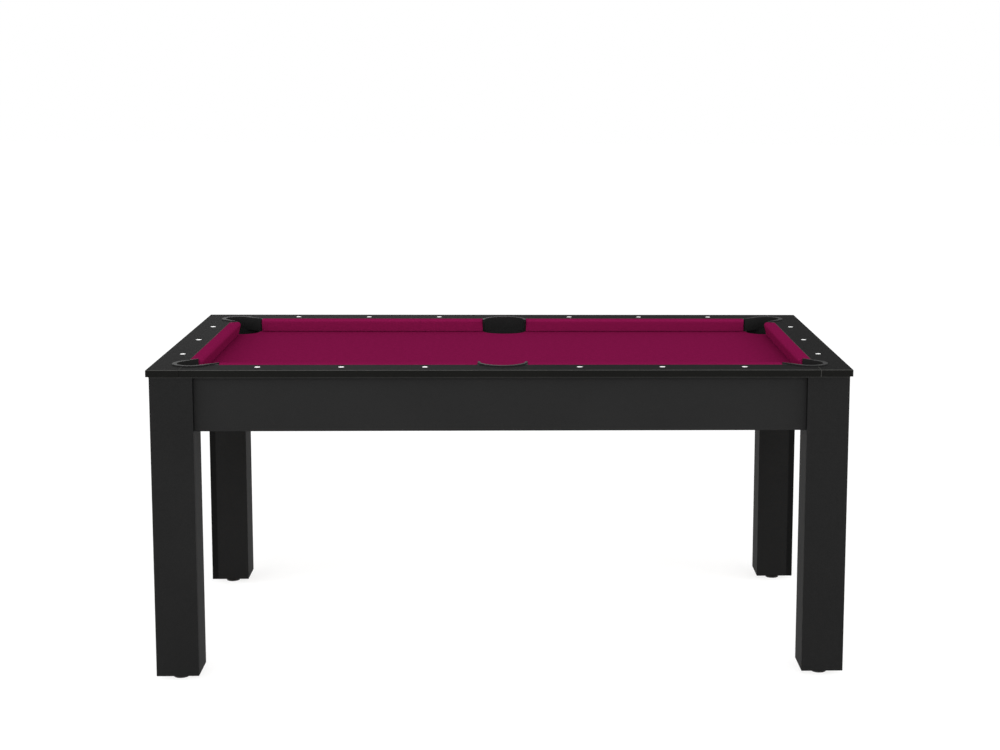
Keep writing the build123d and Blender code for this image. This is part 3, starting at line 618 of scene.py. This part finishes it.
def moulded(name, code, gloss, roughness, grain):
    """Moulded plastic: an even colour with slow clouds of 20 mm, and a pebble grain, grain metres across, in
    the relief."""
    cloud_size, darkest, lightest, relief_depth = 0.02, 0.85, 1.15, 0.00006
    made, tree, body = shader(name, Roughness=roughness, IOR=1.5, Specular_IOR_Level=gloss)
    place = node(tree, "ShaderNodeTexCoord", {}, {})
    pebble = node(tree, "ShaderNodeTexVoronoi", {}, {"Vector": place.outputs["Object"], "Scale": 1 / grain})
    cloud = node(tree, "ShaderNodeTexNoise", {},
                 {"Vector": place.outputs["Object"], "Scale": 1 / cloud_size, "Detail": 3.0})
    tone = node(tree, "ShaderNodeMapRange", {},
                {"Value": cloud.outputs[0], "To Min": darkest, "To Max": lightest})
    colour = node(tree, "ShaderNodeVectorMath", {"operation": "SCALE"},
                  {0: linear(code)[:3], "Scale": tone.outputs[0]})
    tree.links.new(colour.outputs[0], body.inputs["Base Color"])
    relief = node(tree, "ShaderNodeBump", {},
                  {"Height": pebble.outputs[0], "Distance": relief_depth, "Strength": 0.35})
    tree.links.new(relief.outputs[0], body.inputs["Normal"])
    return made


liners = [name for name in nodes if name.startswith("pocket_")]
polyethylene = moulded("spark_eroded_polyethylene", "#1E1E1E", gloss=0.015, roughness=0.42, grain=0.0010)
finish(liners, polyethylene)


# Sights: eighteen white acrylic discs pressed into the rails, slightly domed, with a pearl-grey centre.

def pearl_disc(name):
    """White acrylic with a pearl centre: the tone turns to white with the distance from the disc's own
    centre, which its UV holds in metres."""
    pearl_r, white_r, cloud_size = 0.0022, 0.0036, 0.002
    made, tree, body = shader(name, Roughness=0.22, IOR=1.49)
    place = node(tree, "ShaderNodeUVMap", {"uv_map": "cut"}, {})
    away = node(tree, "ShaderNodeVectorMath", {"operation": "LENGTH"}, {0: place.outputs[0]})
    share = node(tree, "ShaderNodeMapRange", {"interpolation_type": "SMOOTHSTEP"},
                 {"Value": away.outputs["Value"], "From Min": pearl_r, "From Max": white_r})
    cloud = node(tree, "ShaderNodeTexNoise", {},
                 {"Vector": place.outputs[0], "Scale": 1 / cloud_size, "Detail": 2.0})
    pearl = node(tree, "ShaderNodeMix", {"data_type": "RGBA"},
                 {0: cloud.outputs[0], 6: linear("#D2D2CF"), 7: linear("#EFEFEC")})
    colour = node(tree, "ShaderNodeMix", {"data_type": "RGBA"},
                  {0: share.outputs[0], 6: pearl.outputs[2], 7: linear("#FBFBFA")})
    tree.links.new(colour.outputs[2], body.inputs["Base Color"])
    return made


# A disc's rings go out over the dome, whose height falls with the fourth power of the radius, and down its
# side. One disc is worked out at the origin and laid at each mark.
sight_low, sight_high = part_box("rail_sights")
sight_r, sight_columns = 0.0075, 40
long_line, short_line = 0.470, 0.865
long_marks, short_marks = (0.202, 0.419, 0.636), (-0.256, 0.0, 0.256)
marks = [(sx * x, sy * long_line) for sx in (-1, 1) for sy in (-1, 1) for x in long_marks]
marks += [(sx * short_line, y) for sx in (-1, 1) for y in short_marks]
dome_shares = np.array([0.2, 0.4, 0.6, 0.8, 0.93, 0.985, 1.0])
radius = sight_r * np.append(dome_shares, 1.0)
height = np.append(rail_top + (sight_high.z - rail_top) * (1 - dome_shares ** 4), sight_low.z)
round_angle = np.linspace(0, 2 * np.pi, sight_columns, endpoint=False)
disc = np.stack([radius[:, None] * np.cos(round_angle), radius[:, None] * np.sin(round_angle),
                 np.repeat(height[:, None], sight_columns, 1)], axis=-1)
one = np.concatenate([disc.reshape(-1, 3), [[0, 0, sight_high.z], [0, 0, sight_low.z]]])
one_faces = closed_faces(len(radius), sight_columns, flip=True)
sight_points = np.concatenate([one + np.array([x, y, 0.0]) for x, y in marks])
sight_faces = []
for number in range(len(marks)):
    sight_faces += [[corner + number * len(one) for corner in face] for face in one_faces]
sight_uv = np.tile(one[:, :2], (len(marks), 1))
pearl = pearl_disc("pearl_acrylic")
sights = piece("pearl_sights", sight_points, sight_faces, pearl, uv=sight_uv)
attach(sights, "table")
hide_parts("rail_sights")


# Levelling feet: black polyamide pads that swivel on zinc-plated M8 studs. The stud's thread is a helix of
# 1.25 mm pitch that runs from the hexagon to its end.

pads = [name for name in nodes if name.startswith("foot_pad_")]
finish(pads, moulded("black_polyamide", "#1A1A1A", gloss=0.4, roughness=0.5, grain=0.0012))
thread_r, thread_depth, pitch_m = 0.0040, 0.00062, 0.00125
rows_a_turn, stud_columns = 8, 48
apothem, collar_low, collar_top, collar_ease, eased_share = 0.0065, 0.0117, 0.0167, 0.0006, 0.93
plain_r, plain_gap = 0.0039, 0.00001
lead_in_r, lead_in_slope = 0.00338, 2
tip_height, tip_radii = 0.0010, np.array([0.0033, 0.0029])


def threaded_stud(name, node_name, body_name):
    """A stud in four stacked stretches of rows. On the thread the radius at height z and angle a is
    thread_r - thread_depth * |2 frac(z / pitch - a / turn) - 1|, under a cone that leads in from the hexagon;
    on the hexagon it is the apothem over the cosine of the angle from the nearest flat's middle, eased at
    the top and bottom; below it is plain, and the tip narrows."""
    low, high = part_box(node_name)
    x, y = (low.x + high.x) / 2, (low.y + high.y) / 2
    angle = np.linspace(0, 2 * np.pi, stud_columns, endpoint=False)[None]
    plain_z = np.array([low.z, collar_low - plain_gap])
    collar_z = np.array([collar_low, collar_low + collar_ease, collar_top - collar_ease, collar_top])
    thread_z = np.arange(collar_top, high.z - tip_height, pitch_m / rows_a_turn)
    tip_z = np.array([high.z - tip_height, high.z])
    from_flat = (angle + np.pi / 6) % (np.pi / 3) - np.pi / 6
    ease = np.array([eased_share, 1.0, 1.0, eased_share])[:, None]
    hexagon = apothem / np.cos(from_flat) * ease
    wave = np.abs(2 * ((thread_z[:, None] / pitch_m - angle / (2 * np.pi)) % 1.0) - 1)
    lead_in = lead_in_r + (thread_z[:, None] - collar_top) * lead_in_slope
    thread = np.minimum(thread_r - thread_depth * wave, lead_in)
    plain = np.full((len(plain_z), stud_columns), plain_r)
    tip = np.repeat(tip_radii[:, None], stud_columns, 1)
    radius = np.concatenate([plain, hexagon, thread, tip])
    z = np.repeat(np.concatenate([plain_z, collar_z, thread_z, tip_z])[:, None], stud_columns, 1)
    points = np.stack([x + radius * np.cos(angle), y + radius * np.sin(angle), z], axis=-1)
    ended = np.concatenate([points.reshape(-1, 3), [[x, y, low.z], [x, y, high.z]]])
    made = piece(name, ended, closed_faces(*points.shape[:2]), zinc, sharp_deg=40.0)
    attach(made, body_name)
    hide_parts(node_name)


for side, sy, end, sx in quarters:
    threaded_stud(f"threaded_stud_{side}_{end}", f"foot_stud_{side}_{end}", f"stud_{side}_{end}")
